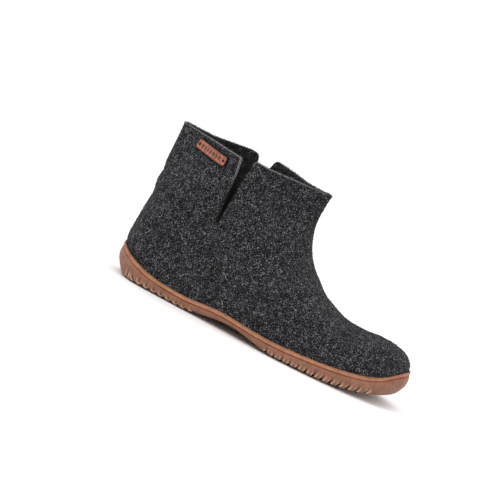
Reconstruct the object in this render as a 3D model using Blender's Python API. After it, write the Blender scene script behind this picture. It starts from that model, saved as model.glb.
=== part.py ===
"""Felted wool ankle boot for the right foot: a hollow felt upper slit at both sides of the shaft,
standing in a cupped rubber sole, with a felt insole and a riveted leather tag at the collar.

Lengths are in millimetres up to the last step, where MM turns them to metres. While the boot is
worked out, x runs from the heel (0) to the toe, y is 0 on the heel's middle line and negative on the
outer (lateral) side, and z is 0 on the floor. The parent empty then centres the boot on its own box.
"""

import math
from collections import namedtuple

import bmesh
import bpy
import numpy as np

MM = 0.001

# Driving dimensions
BOOT_LENGTH = 273.0
HEEL_WIDTH = 69.0
WAIST_WIDTH = 75.0
BALL_WIDTH = 99.0
SHAFT_WIDTH = 85.0
COLLAR_HEIGHT = 140.0
FELT_THICKNESS = 4.0
FIT_GAP = 0.35
CUP_GAP = 0.45

# Sole
SOLE_FLOOR = 6.0
ARCH_RISE = 6.2
ARCH_FROM, ARCH_TO = 72.0, 168.0
FLOOR_ARCH_RISE = 4.6
FLOOR_ARCH_FROM, FLOOR_ARCH_TO = 62.0, 176.0
TOE_SPRING = 14.5
TOE_SPRING_FROM = 196.0
TOE_SPRING_POWER = 2.6
TOE_ROCKER = 6.0
TOE_ROCKER_LENGTH = 10.0
HEEL_ROCKER = 8.0
HEEL_ROCKER_FROM = 17.0
WELT_REACH = 2.6
TREAD_PITCH = 7.6
TREAD_CREST = 4.2
TREAD_DEPTH = 2.4
HEEL_BARS = 9
FOREFOOT_FROM = 153.0
FOREFOOT_BARS = 13
FLUTE_DEPTH = 1.2

# Shaft slits, one on each side
SLIT_X = 71.5
SLIT_FOOT_Z = 79.5
SLIT_POWER = 0.75
CORNER_POWER = 8.0
FLAP_FLARE = 2.2
FLAP_REACH = 14.0
FLAP_POWER = 1.5

# Insole
INSOLE_THICKNESS = 4.0

# Leather tag on the outer side, below the collar of the back flap
TAG_LENGTH, TAG_HEIGHT, TAG_THICKNESS = 39.2, 8.6, 1.6
TAG_CORNER = 2.0
TAG_SEAT = 0.55
TAG_X, TAG_Z = 41.3, 130.8
TAG_TILT = math.radians(3.0)
RIVET_FROM_END = 2.6
RIVET_RADIUS = 1.0
RIVET_RISE = 0.4
RIVET_CROWN = 0.6

# How round the felt is, as an ellipse's power, and how far from the front or back line it reaches its
# full width, low on the foot and high on the shaft
ROUND_POWER = 2.15
TOE_ROUND, SHIN_ROUND = 31.0, 62.0
TOE_ROUND_TO, SHIN_ROUND_FROM = 45.0, 120.0
HEEL_ROUND, CALF_ROUND = 31.0, 58.0
HEEL_ROUND_TO, CALF_ROUND_FROM = 25.0, 120.0
TOE_UNDERCUT = 2.0

# Height where the foot's outline starts and ends its change to the shaft's oval
SHAFT_FROM, SHAFT_TO = 22.0, 98.0
FELT_SWELL = 1.2
FELT_SWELL_HEIGHT = 12.0

# The shaft is flattened towards the collar, with a tight fold down its front and back
FOLD_FROM = 72.0
FOLD_SHARE, FOLD_REACH = 0.20, 14.0
FLAT_REACH = 66.0

# Sizes of the mesh
BACK_COLUMNS, FRONT_COLUMNS = 10, 21
FRONT_CROWDING = 1.7
FOOT_SLICES = np.arange(0, 7, 0.5)
INSTEP_SLICES = (7, 7.2, 7.5, 8, 8.5, 9, 9.5)
SHAFT_SLICES = (10, 10.5, 11, 12, 13, 13.5, 14)
CUP_SLICES, FLOOR_SLICES = 2, 3
HEEL_TURN_STATIONS, WAIST_STATIONS, TOE_TURN_STATIONS = 6, 7, 9
TAG_CORNER_POINTS, TAG_EDGE_POINTS, RIVET_SIDES = 4, 14, 12

# Steps of the searches along the felt and along the toe, and how far apart a slope is measured
TAG_STEPS, TOE_LINE_STEPS = 24, 60
SLOPE_STEP = 0.25

# One row for each tilted slice through the felt, from the sole to the collar: where it meets the
# front line of the boot, and where it meets the back line.
Slice = namedtuple("Slice", "name front_x front_z back_x back_z")
SLICES = (
    Slice("floor", 269.2, 20.5, 6.1, 6.3),
    Slice("cup", 269.8, 30.0, 4.2, 12.0),
    Slice("rim", 268.6, 38.0, 3.0, 17.0),
    Slice("toe_brow", 261.8, 45.4, 2.4, 20.5),
    Slice("toe_top", 248.5, 49.6, 1.9, 23.0),
    Slice("vamp_front", 230.5, 50.5, 1.4, 25.5),
    Slice("vamp", 213.5, 50.0, 0.9, 28.5),
    Slice("vamp_crease", 199.5, 50.7, 0.5, 33.0),
    Slice("instep_low", 184.5, 57.0, 1.0, 46.0),
    Slice("instep", 169.2, 67.8, 2.6, 62.0),
    Slice("slit_foot", 154.6, 80.8, 4.0, 77.6),
    Slice("ankle", 146.0, 97.6, 2.9, 95.0),
    Slice("shaft_low", 142.7, 112.0, 1.9, 111.0),
    Slice("shaft", 143.2, 126.0, 2.0, 126.0),
    Slice("collar", 144.6, COLLAR_HEIGHT, 1.8, COLLAR_HEIGHT + 0.5),
)

# The slit on each side of the shaft (-1 is the outer side): how far it opens behind and ahead of its
# foot, how much further the corners of the back and front flap turn away from it at the collar, how far
# the back flap's corner drops and how far the front flap's corner rises.
Slit = namedtuple("Slit", "side behind ahead back_corner front_corner back_drop front_rise")
SLITS = {
    -1: Slit("outer", 3.6, 4.4, 1.6, 3.4, 1.8, 1.6),
    1: Slit("inner", 3.4, 5.5, 1.8, 6.5, 0.4, 1.6),
}

# The outline of the felt at the sole: how far its middle line leans to the inner side, and half its width.
Outline = namedtuple("Outline", "name x middle half")
OUTLINE = (
    Outline("heel_back", 0.0, 0.0, 0.46 * HEEL_WIDTH),
    Outline("heel", 38.0, 0.0, 0.50 * HEEL_WIDTH),
    Outline("waist", 98.0, -3.0, 0.50 * WAIST_WIDTH),
    Outline("ball", 172.0, 0.0, 0.485 * BALL_WIDTH),
    Outline("toes", 222.0, 4.0, 0.455 * BALL_WIDTH),
    Outline("toe_tip", BOOT_LENGTH, 8.0, 0.30 * BALL_WIDTH),
)

# The top edge of the sole, which climbs the heel and the toe.
Rim = namedtuple("Rim", "name x z")
RIM = (
    Rim("heel_back", 0.0, 27.4),
    Rim("heel_side", 13.0, 22.0),
    Rim("heel", 35.0, 15.0),
    Rim("heel_front", 66.0, 11.5),
    Rim("waist", 110.0, 14.7),
    Rim("ball_back", 150.0, 12.9),
    Rim("ball", 188.0, 14.0),
    Rim("toes", 221.0, 17.1),
    Rim("toe_side", 251.0, 23.4),
    Rim("toe_tip", BOOT_LENGTH, 33.6),
)

# The side of the sole from the tread up to the rim and down again to the floor of the cup: how far
# each line stands out from the felt, what its height is counted from (down from the rim, or as a share
# of the way from the tread or the cup's floor up to the rim), and how deep the flutes cut into it.
SoleLine = namedtuple("SoleLine", "name reach base height flute")
SOLE_LINES = (
    SoleLine("tread_edge", -1.4, "tread", 0.0, FLUTE_DEPTH),
    SoleLine("wall_low", 1.4, "tread", 0.28, FLUTE_DEPTH),
    SoleLine("wall_top", 2.1, "rim", -4.3, 0.0),
    SoleLine("groove", 1.5, "rim", -3.8, 0.0),
    SoleLine("welt_under", WELT_REACH, "rim", -3.3, 0.0),
    SoleLine("welt_edge", WELT_REACH, "rim", -2.5, 0.0),
    SoleLine("rim_outer", 1.5, "rim", -0.4, 0.0),
    SoleLine("rim_inner", CUP_GAP, "rim", 0.0, 0.0),
    SoleLine("cup_wall", CUP_GAP, "cup", 0.6, 0.0),
    SoleLine("cup_floor", CUP_GAP, "cup", 0.0, 0.0),
)

# Colours: charcoal felt, gum rubber, cognac leather and blackened metal
Finish = namedtuple("Finish", "name colour roughness metallic")
FELT = Finish("felt", (0.040, 0.040, 0.043), 0.95, 0.0)
INSOLE_FELT = Finish("insole_felt", (0.075, 0.074, 0.076), 0.95, 0.0)
RUBBER = Finish("gum_rubber", (0.36, 0.165, 0.08), 0.6, 0.0)
LEATHER = Finish("tag_leather", (0.46, 0.16, 0.085), 0.55, 0.0)
RIVET_METAL = Finish("rivet_metal", (0.012, 0.012, 0.013), 0.4, 1.0)


# Curves and blends


def curve_through(stations, values):
    """A smooth function through the values at the stations, level beyond both ends."""
    stations, values = np.array(stations, float), np.array(values, float)
    slopes = np.gradient(values, stations)

    def at(where):
        where = np.clip(where, stations[0], stations[-1])
        k = np.clip(np.searchsorted(stations, where) - 1, 0, len(stations) - 2)
        span = stations[k + 1] - stations[k]
        t = (where - stations[k]) / span
        rise = values[k] * (1 + 2 * t) * (1 - t) ** 2 + values[k + 1] * t * t * (3 - 2 * t)
        return rise + span * t * (1 - t) * (slopes[k] * (1 - t) - slopes[k + 1] * t)

    return at


def column_curve(table, along, column):
    """A smooth function of one column of a table over another."""
    return curve_through([getattr(row, along) for row in table], [getattr(row, column) for row in table])


def slice_curve(column):
    """A smooth function of one column of the slices over their number, counted from the sole."""
    return curve_through(range(len(SLICES)), [getattr(row, column) for row in SLICES])


def smooth_step(value):
    value = np.clip(value, 0.0, 1.0)
    return value * value * (3 - 2 * value)


def rounding(share):
    """How far an ellipse has opened, from 0 at its end to 1 at its full width."""
    return (1 - (1 - np.clip(share, 0.0, 1.0)) ** ROUND_POWER) ** (1 / ROUND_POWER)


front_x, front_z = slice_curve("front_x"), slice_curve("front_z")
back_x, back_z = slice_curve("back_x"), slice_curve("back_z")
back_line = column_curve(SLICES, "back_z", "back_x")
outline_middle = column_curve(OUTLINE, "x", "middle")
outline_half = column_curve(OUTLINE, "x", "half")
rim_height = column_curve(RIM, "x", "z")

FRONT_LINE_STEPS = np.linspace(0, len(SLICES) - 1, 400)
FRONT_LINE = np.stack([front_x(FRONT_LINE_STEPS), front_z(FRONT_LINE_STEPS)], axis=1)
FRONT_LINE = np.vstack([[SLICES[0].front_x - TOE_UNDERCUT, 0.0], FRONT_LINE])


# The form of the foot and shaft


def hump(x, start, end):
    """A smooth rise from 0 to 1 and back between two places."""
    return np.sin(math.pi * np.clip((x - start) / (end - start), 0.0, 1.0)) ** 2


def toe_spring(x):
    along = np.clip((x - TOE_SPRING_FROM) / (BOOT_LENGTH - TOE_SPRING_FROM), 0.0, 1.0)
    return TOE_SPRING * along**TOE_SPRING_POWER


def floor_height(x):
    """The inside floor of the sole, on which the felt and the insole stand."""
    return SOLE_FLOOR + FLOOR_ARCH_RISE * hump(x, FLOOR_ARCH_FROM, FLOOR_ARCH_TO) + toe_spring(x)


def shaft_share(z):
    return smooth_step((z - SHAFT_FROM) / (SHAFT_TO - SHAFT_FROM))


def front_round(z):
    """How far behind the front line the felt reaches its full width."""
    share = smooth_step((z - TOE_ROUND_TO) / (SHIN_ROUND_FROM - TOE_ROUND_TO))
    return TOE_ROUND + (SHIN_ROUND - TOE_ROUND) * share


def back_round(z):
    """How far ahead of the back line the felt reaches its full width."""
    share = smooth_step((z - HEEL_ROUND_TO) / (CALF_ROUND_FROM - HEEL_ROUND_TO))
    return HEEL_ROUND + (CALF_ROUND - HEEL_ROUND) * share


def front_gap(x, z):
    """Distance from the front line of the boot, seen from the side."""
    starts, runs = FRONT_LINE[:-1], np.diff(FRONT_LINE, axis=0)
    away = np.array([x, z]) - starts
    share = np.clip((away * runs).sum(axis=1) / (runs * runs).sum(axis=1), 0.0, 1.0)
    return float(np.linalg.norm(away - share[:, None] * runs, axis=1).min())


def felt_end(gap, reach, z):
    """How much of its full width the felt has at a distance from its front or back line."""
    folded = FOLD_SHARE * rounding(gap / FOLD_REACH) + (1 - FOLD_SHARE) * smooth_step(gap / FLAT_REACH)
    share = smooth_step((z - FOLD_FROM) / (COLLAR_HEIGHT - FOLD_FROM))
    return (1 - share) * rounding(gap / reach) + share * folded


def half_width(x, z, to_front, to_back, grow=0.0):
    """Half the felt's width at a place, seen from the side, with all of its skin grown outwards."""
    share = shaft_share(z)
    swell = FELT_SWELL * smooth_step((z - rim_height(x)) / FELT_SWELL_HEIGHT)
    full = (1 - share) * outline_half(x) + share * SHAFT_WIDTH / 2 + swell + grow
    front_end = felt_end(to_front + grow, front_round(z) + grow, z)
    back_end = felt_end(to_back + grow, back_round(z) + grow, z)
    return full * front_end * back_end


def middle_line(x, z):
    return (1 - shaft_share(z)) * outline_middle(x)


def slit_climb(z):
    """How far a height lies up the slit, from 0 at its foot to 1 at the collar."""
    return float(np.clip((z - SLIT_FOOT_Z) / (COLLAR_HEIGHT - SLIT_FOOT_Z), 0.0, 1.0))


def flap_share(x, z):
    """How much of a flap's set a place takes: most at its corner beside the slit."""
    return slit_climb(z) ** FLAP_POWER * math.exp(-abs(SLIT_X - x) / FLAP_REACH)


def felt_point(x, z, side):
    """The felt's outer skin at a place seen from the side; side is -1 for the outer half of the boot."""
    half = half_width(x, z, front_gap(x, z), x - float(back_line(z)))
    flap = flap_share(x, z)
    if x <= SLIT_X:
        flare, lift = FLAP_FLARE * flap, -SLITS[side].back_drop * flap
    else:
        flare, lift = 0.0, SLITS[side].front_rise * flap
    return np.array([x, middle_line(x, z) + side * (half + flare), z + lift])


def felt_normal(x, z, side):
    along = felt_point(x + SLOPE_STEP, z, side) - felt_point(x - SLOPE_STEP, z, side)
    up = felt_point(x, z + SLOPE_STEP, side) - felt_point(x, z - SLOPE_STEP, side)
    normal = np.cross(along, up) * -side
    return normal / np.linalg.norm(normal)


# Meshes


def new_object(name, mesh_builder, finish, parent, smooth_angle=40.0):
    mesh = bpy.data.meshes.new(name)
    mesh_builder.to_mesh(mesh)
    mesh_builder.free()
    mesh.shade_smooth()
    mesh.set_sharp_from_angle(angle=math.radians(smooth_angle))
    mesh.materials.append(material_for(finish))
    piece = bpy.data.objects.new(name, mesh)
    piece.parent = parent
    bpy.context.scene.collection.objects.link(piece)
    return piece


def material_for(finish):
    material = bpy.data.materials.new(finish.name)
    material.use_nodes = True
    shader = material.node_tree.nodes["Principled BSDF"]
    shader.inputs["Base Color"].default_value = (*finish.colour, 1.0)
    shader.inputs["Roughness"].default_value = finish.roughness
    shader.inputs["Metallic"].default_value = finish.metallic
    return material


def add_points(builder, points):
    return [builder.verts.new(np.asarray(point) * MM) for point in points]


def bridge(builder, lower, upper, closed=True):
    """Faces between two rows of points of the same length."""
    count = len(lower)
    for k in range(count if closed else count - 1):
        n = (k + 1) % count
        corners = [lower[k], lower[n], upper[n], upper[k]]
        builder.faces.new([v for i, v in enumerate(corners) if v not in corners[:i]])


def cap(builder, loop, flip):
    """Faces across a loop that runs up one side from end to end and back down the other."""
    far = len(loop) // 2
    for k in range(far):
        corners = [loop[k], loop[k + 1], loop[-k - 1], loop[-k % len(loop)]]
        corners = [v for i, v in enumerate(corners) if v not in corners[:i]]
        builder.faces.new(corners[::-1] if flip else corners)


# Felt upper


def slice_height(step, x):
    """Height of a slice at a place; the lowest slices follow the floor of the sole."""
    share = (x - back_x(step)) / (front_x(step) - back_x(step))
    straight = back_z(step) + share * (front_z(step) - back_z(step))
    first = SLICES[0].back_z + share * (SLICES[0].front_z - SLICES[0].back_z)
    floor_share = 1 - smooth_step(step / FLOOR_SLICES)
    return float(straight + floor_share * (floor_height(x) + FIT_GAP - first))


def slice_halves(step, side):
    """One slice along one side of the boot: points from the back line to the slit, then on to the toe."""
    start, end = float(back_x(step)), float(front_x(step))
    slit, climb = SLITS[side], slit_climb(slice_height(step, SLIT_X))
    opening, corner = climb**SLIT_POWER, climb**CORNER_POWER
    behind = SLIT_X - slit.behind * opening - slit.back_corner * corner
    ahead = SLIT_X + slit.ahead * opening + slit.front_corner * corner
    turns = np.linspace(0, math.pi / 2, BACK_COLUMNS + 1)
    back_places = start + (behind - start) * (1 - np.cos(turns))
    left = np.linspace(1, 0, FRONT_COLUMNS + 1) ** FRONT_CROWDING
    front_places = end - (end - ahead) * left
    back_half = [felt_point(x, slice_height(step, x), side) for x in back_places]
    front_half = [felt_point(x, slice_height(step, x), side) for x in front_places]
    back_half[0][1] = middle_line(start, back_half[0][2])
    front_half[-1][1] = middle_line(end, front_half[-1][2])
    return back_half, front_half


def build_upper(parent):
    """The felt skin from the sole's floor to the collar, thickened inwards to one hollow wall."""
    builder = bmesh.new()
    strips = [[], [], [], []]
    for step in (*FOOT_SLICES, *INSTEP_SLICES, *SHAFT_SLICES):
        halves = (*slice_halves(step, -1), *slice_halves(step, 1))
        for strip, points in zip(strips, halves):
            strip.append(add_points(builder, points))
    outer_strips = (0, 1)
    for number, rows in enumerate(strips):
        for lower, upper in zip(rows, rows[1:]):
            if number in outer_strips:
                bridge(builder, lower, upper, closed=False)
            else:
                bridge(builder, lower[::-1], upper[::-1], closed=False)
    bmesh.ops.remove_doubles(builder, verts=builder.verts, dist=0.01 * MM)
    bmesh.ops.triangulate(builder, faces=builder.faces, quad_method="SHORT_EDGE")
    upper = new_object("upper", builder, FELT, parent)
    wall = upper.modifiers.new("wall", "SOLIDIFY")
    wall.thickness = FELT_THICKNESS * MM
    wall.offset = -1.0
    wall.use_rim = True
    return upper


# Rubber sole


def tread_stations():
    """Places along the sole and whether each lies in a groove of the tread."""
    heel_end = HEEL_ROCKER_FROM + HEEL_BARS * TREAD_PITCH
    forefoot_end = FOREFOOT_FROM + FOREFOOT_BARS * TREAD_PITCH
    stations = []
    for turn in np.linspace(0, math.pi / 2, HEEL_TURN_STATIONS, endpoint=False):
        stations.append((HEEL_ROCKER_FROM * (1 - math.cos(turn)), False))
    for first, bars in ((HEEL_ROCKER_FROM, HEEL_BARS), (FOREFOOT_FROM, FOREFOOT_BARS)):
        for bar in range(bars):
            start = first + bar * TREAD_PITCH
            stations.append((start, False))
            stations.append((start + TREAD_CREST, False))
            stations.append((start + (TREAD_CREST + TREAD_PITCH) / 2, True))
        if first == HEEL_ROCKER_FROM:
            waist = np.linspace(heel_end, FOREFOOT_FROM, WAIST_STATIONS, endpoint=False)
            stations += [(x, False) for x in waist]
    for turn in np.linspace(0, math.pi / 2, TOE_TURN_STATIONS):
        stations.append((forefoot_end + (BOOT_LENGTH - forefoot_end) * math.sin(turn), False))
    return stations


def tread_height(x):
    """The lowest line of the sole: level, with a hollow arch, and turned up at the heel and the toe."""
    heel = np.clip((HEEL_ROCKER_FROM - x) / HEEL_ROCKER_FROM, 0.0, 1.0)
    toe = np.clip((x - BOOT_LENGTH) / TOE_ROCKER_LENGTH + 1, 0.0, 1.0)
    rockers = HEEL_ROCKER * heel**2 + TOE_ROCKER * toe**2
    return ARCH_RISE * hump(x, ARCH_FROM, ARCH_TO) + toe_spring(x) + rockers


def front_line_at(z):
    """Where the toe's front line stands at a height inside the cup of the sole."""
    steps = np.linspace(0, CUP_SLICES, TOE_LINE_STEPS)
    return float(np.interp(z, front_z(steps), front_x(steps)))


def line_height(line, x, in_groove=False):
    rim = float(rim_height(x))
    if line.base == "rim":
        return rim + line.height
    base = float(floor_height(x) if line.base == "cup" else tread_height(x))
    notch = TREAD_DEPTH if in_groove and line.name == "tread_edge" else 0.0
    return base + line.height * (rim - base) + notch


def sole_loop(line, stations):
    """A line round the sole at its reach from the felt, up the outer side and back down the inner."""
    first = float(back_line(line_height(line, 0.0))) - line.reach
    last = front_line_at(line_height(line, BOOT_LENGTH)) + line.reach
    outer, inner = [], []
    for place, in_groove in stations:
        x = first + (last - first) * place / BOOT_LENGTH
        z = line_height(line, x, in_groove)
        level = line_height(line, x)
        to_front = max(front_line_at(level), last - line.reach) - x
        to_back = x - min(float(back_line(level)), first + line.reach)
        half = half_width(x, level, to_front, to_back, line.reach)
        half -= line.flute if in_groove else 0.0
        if place in (0.0, BOOT_LENGTH):
            half = 0.0
        for points, side in ((outer, -1), (inner, 1)):
            points.append(np.array([x, middle_line(x, z) + side * half, z]))
    return outer + inner[-2:0:-1]


def build_sole(parent):
    """One cup of rubber: fluted tread, plain wall, groove, welt-like step and a rim round the felt."""
    builder = bmesh.new()
    stations = tread_stations()
    loops = [add_points(builder, sole_loop(line, stations)) for line in SOLE_LINES]
    for lower, upper in zip(loops, loops[1:]):
        bridge(builder, lower, upper)
    cap(builder, loops[0], flip=True)
    cap(builder, loops[-1], flip=False)
    bmesh.ops.recalc_face_normals(builder, faces=builder.faces)
    return new_object("sole", builder, RUBBER, parent, smooth_angle=35.0)


# Insole


def inset_loop(points, distance):
    """A loop moved inwards, square to its own line as seen from above."""
    points = np.array(points)
    runs = np.roll(points, -1, axis=0) - np.roll(points, 1, axis=0)
    inwards = np.stack([runs[:, 1], -runs[:, 0]], axis=1) / np.hypot(runs[:, 0], runs[:, 1])[:, None]
    moved = points.copy()
    moved[:, :2] -= distance * inwards
    return moved


def build_insole(parent):
    """A felt footbed on the sole's floor, inside the upper's wall."""
    builder = bmesh.new()
    turns = np.linspace(0, math.pi, 2 * FRONT_COLUMNS + 1)
    stations = [(BOOT_LENGTH * (1 - math.cos(turn)) / 2, False) for turn in turns]
    outline = sole_loop(SOLE_LINES[-1], stations)
    outline = inset_loop(outline, FELT_THICKNESS + 3 * FIT_GAP)
    loops = []
    for lift in (FIT_GAP, FIT_GAP + INSOLE_THICKNESS):
        loops.append(add_points(builder, [(x, y, floor_height(x) + lift) for x, y, z in outline]))
    bridge(builder, *loops)
    cap(builder, loops[0], flip=True)
    cap(builder, loops[1], flip=False)
    bmesh.ops.recalc_face_normals(builder, faces=builder.faces)
    return new_object("insole", builder, INSOLE_FELT, parent)


# Leather tag and its rivets


def tag_place(along, up, lift):
    """A place on the tag, counted from its middle along the felt, laid on the felt's outer skin."""
    level = along * math.cos(TAG_TILT) + up * math.sin(TAG_TILT)
    z = TAG_Z + up * math.cos(TAG_TILT) - along * math.sin(TAG_TILT)
    x = TAG_X
    for _ in range(TAG_STEPS):
        lean = felt_point(x + SLOPE_STEP, z, -1)[1] - felt_point(x - SLOPE_STEP, z, -1)[1]
        x += level / TAG_STEPS / math.hypot(1.0, lean / (2 * SLOPE_STEP))
    return felt_point(x, z, -1) + lift * felt_normal(x, z, -1)


def tag_outline(rows):
    """Half heights of the tag at places along it, with round corners."""
    half_length, half_height = TAG_LENGTH / 2, TAG_HEIGHT / 2
    turns = np.linspace(0, math.pi / 2, rows)
    ends = [(-half_length + TAG_CORNER * (1 - math.sin(t)), half_height - TAG_CORNER * (1 - math.cos(t)))
            for t in turns[::-1]]
    return [(-a, h) for a, h in ends][::-1], ends


def build_tag(parent):
    """A strip of leather between two skins laid on the felt, with a hole near each end."""
    front_end, back_end = tag_outline(TAG_CORNER_POINTS)
    hole = TAG_LENGTH / 2 - RIVET_FROM_END
    outline = [(a, -h) for a, h in back_end[::-1]] + [(a, h) for a, h in back_end]
    middle = np.linspace(back_end[-1][0], front_end[0][0], TAG_EDGE_POINTS + 2)[1:-1]
    outline += [(a, TAG_HEIGHT / 2) for a in middle]
    outline += front_end + [(a, -h) for a, h in front_end[::-1]]
    outline += [(a, -TAG_HEIGHT / 2) for a in middle[::-1]]
    builder = bmesh.new()
    rims = [outline[::-1]]
    for centre in (-hole, hole):
        turns = np.linspace(0, 2 * math.pi, RIVET_SIDES, endpoint=False)
        radius = RIVET_RADIUS + FIT_GAP
        rims.append([(centre + radius * math.cos(t), radius * math.sin(t)) for t in turns])
    edges = []
    for rim in rims:
        corners = [builder.verts.new((a, u, 0.0)) for a, u in rim]
        edges += [builder.edges.new((v, corners[k - 1])) for k, v in enumerate(corners)]
    bmesh.ops.triangle_fill(builder, use_beauty=True, use_dissolve=False, edges=edges)
    faces = bmesh.ops.extrude_face_region(builder, geom=builder.faces[:])["geom"]
    for vert in [g for g in faces if isinstance(g, bmesh.types.BMVert)]:
        vert.co.z = TAG_THICKNESS
    for vert in builder.verts:
        vert.co = tag_place(vert.co.x, vert.co.y, TAG_SEAT + vert.co.z) * MM
    bmesh.ops.recalc_face_normals(builder, faces=builder.faces)
    return new_object("leather_tag", builder, LEATHER, parent)


def build_rivet(name, along, parent):
    """A blackened rivet through one hole of the tag, with a low dome."""
    builder = bmesh.new()
    turns = np.linspace(0, 2 * math.pi, RIVET_SIDES, endpoint=False)
    top = TAG_SEAT + TAG_THICKNESS
    rings = ((RIVET_RADIUS, TAG_SEAT), (RIVET_RADIUS, top), (RIVET_CROWN * RIVET_RADIUS, top + RIVET_RISE))
    loops = []
    for radius, lift in rings:
        ring = [tag_place(along + radius * math.cos(t), radius * math.sin(t), lift) for t in turns]
        loops.append(add_points(builder, ring))
    for lower, upper in zip(loops, loops[1:]):
        bridge(builder, lower, upper)
    builder.faces.new(loops[0][::-1])
    builder.faces.new(loops[-1])
    bmesh.ops.recalc_face_normals(builder, faces=builder.faces)
    return new_object(name, builder, RIVET_METAL, parent)


# The boot


def centre_on_box(boot, pieces):
    """Moves the boot so that its origin is under the middle of its own box, on the floor."""
    corners = np.array([vert.co for piece in pieces for vert in piece.data.vertices])
    low, high = corners.min(axis=0), corners.max(axis=0)
    boot.location = (-(low[0] + high[0]) / 2, -(low[1] + high[1]) / 2, -low[2])


def main():
    for thing in list(bpy.data.objects):
        bpy.data.objects.remove(thing)
    boot = bpy.data.objects.new("boot", None)
    bpy.context.scene.collection.objects.link(boot)
    hole = TAG_LENGTH / 2 - RIVET_FROM_END
    pieces = [
        build_upper(boot),
        build_sole(boot),
        build_insole(boot),
        build_tag(boot),
        build_rivet("tag_rivet_back", -hole, boot),
        build_rivet("tag_rivet_front", hole, boot),
    ]
    centre_on_box(boot, pieces)


main()
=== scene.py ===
# Looks of a felt ankle boot on a gum-rubber cup sole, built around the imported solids.
import math
import random

import bmesh
import bpy
import numpy as np
from mathutils import Matrix, Vector, noise
from mathutils.bvhtree import BVHTree
from mathutils.kdtree import KDTree


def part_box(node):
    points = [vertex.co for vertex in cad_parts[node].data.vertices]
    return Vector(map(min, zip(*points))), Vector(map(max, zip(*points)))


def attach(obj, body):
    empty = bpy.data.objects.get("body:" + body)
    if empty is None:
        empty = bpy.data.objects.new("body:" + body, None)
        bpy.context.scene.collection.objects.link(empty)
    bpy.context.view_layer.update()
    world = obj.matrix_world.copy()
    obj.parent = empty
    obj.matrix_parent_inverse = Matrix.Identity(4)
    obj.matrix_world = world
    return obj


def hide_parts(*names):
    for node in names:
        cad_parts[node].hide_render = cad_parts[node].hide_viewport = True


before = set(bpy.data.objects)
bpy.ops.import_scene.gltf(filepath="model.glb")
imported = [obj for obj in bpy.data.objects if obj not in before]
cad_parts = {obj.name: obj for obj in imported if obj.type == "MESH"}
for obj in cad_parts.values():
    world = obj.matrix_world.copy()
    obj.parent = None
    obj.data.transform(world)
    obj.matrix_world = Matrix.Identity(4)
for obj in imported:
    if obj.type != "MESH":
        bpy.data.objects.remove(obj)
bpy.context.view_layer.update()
mm = 0.001
footHalf = 100.0     # the foot's axis runs this far to heel and toe, in mm


# shared helpers

quads = {"mergeMm": 0.001, "flatAngle": 40.0, "skewAngle": 52.0}     # how packed triangles are paired
seedSteps = (7.3, 3.1, 5.7)     # each noise seed shifts the pattern by this much


def srgb(hexText):
    # sRGB hex to linear, with alpha
    parts = [int(hexText[i:i + 2], 16) / 255 for i in (1, 3, 5)]
    return tuple(p / 12.92 if p < 0.04045 else ((p + 0.055) / 1.055) ** 2.4 for p in parts) + (1.0,)


def addNode(tree, kind, values=None, links=None, stops=(), **settings):
    # one node with its settings, its fixed values, what feeds it and, for a ramp, its (place, hex) stops
    made = tree.nodes.new(kind)
    for name, value in settings.items():
        setattr(made, name, value)
    for name, value in (values or {}).items():
        made.inputs[name].default_value = value
    for name, source in (links or {}).items():
        tree.links.new(source, made.inputs[name])
    for k, (place, hexText) in enumerate(stops):
        elements = made.color_ramp.elements
        element = elements[k] if k < 2 else elements.new(place)
        element.position = place
        element.color = srgb(hexText)
    return made


def newMaterial(name):
    made = bpy.data.materials.new(name)
    made.use_nodes = True
    made.node_tree.nodes.clear()
    return made, made.node_tree


def cadMesh(nodeName):
    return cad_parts[nodeName].data


def middleOf(nodeName):
    low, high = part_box(nodeName)
    return (Vector(low) + Vector(high)) / 2


def bvhOf(mesh):
    return BVHTree.FromPolygons([v.co for v in mesh.vertices], [tuple(p.vertices) for p in mesh.polygons])


def treeOf(spots):
    tree = KDTree(len(spots))
    for k, spot in enumerate(spots):
        tree.insert(spot, k)
    tree.balance()
    return tree


def smoothStep(low, high, value):
    t = np.clip((value - low) / (high - low), 0, 1)
    return t * t * (3 - 2 * t)


def softBand(gap, width):
    # 1 where the gap is nothing, fading out within about twice the width
    return np.exp(-(gap / width) ** 2)


def cadPiece(nodeName):
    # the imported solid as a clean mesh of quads
    built = bmesh.new()
    built.from_mesh(cadMesh(nodeName))
    bmesh.ops.remove_doubles(built, verts=built.verts[:], dist=quads["mergeMm"] * mm)
    bmesh.ops.join_triangles(built, faces=built.faces[:],
                             angle_face_threshold=math.radians(quads["flatAngle"]),
                             angle_shape_threshold=math.radians(quads["skewAngle"]))
    built.normal_update()
    return built


def subdivided(built, name, levels, creaseOf):
    # rounds the facets off; creaseOf says how sharp an edge stays
    layer = built.edges.layers.float.new("crease_edge")
    for edge in built.edges:
        edge[layer] = creaseOf(edge)
    mesh = bpy.data.meshes.new(name)
    built.to_mesh(mesh)
    built.free()
    piece = bpy.data.objects.new(name, mesh)
    bpy.context.scene.collection.objects.link(piece)
    rounding = piece.modifiers.new("rounding", "SUBSURF")
    rounding.levels = rounding.render_levels = levels
    depsgraph = bpy.context.evaluated_depsgraph_get()
    fine = bpy.data.meshes.new_from_object(piece.evaluated_get(depsgraph))
    piece.modifiers.clear()
    piece.data = fine
    bpy.data.meshes.remove(mesh)
    fine.name = name
    fine.shade_smooth()
    return piece


def meshPiece(name, points, faces):
    mesh = bpy.data.meshes.new(name)
    mesh.from_pydata([tuple(p) for p in points], [], faces)
    mesh.update()
    mesh.shade_smooth()
    piece = bpy.data.objects.new(name, mesh)
    bpy.context.scene.collection.objects.link(piece)
    return piece


def readPoints(mesh, kind="co"):
    flat = np.empty(len(mesh.vertices) * 3)
    mesh.vertices.foreach_get(kind, flat)
    return flat.reshape(-1, 3)


def readNormals(mesh):
    return readPoints(mesh, "normal")


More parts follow.
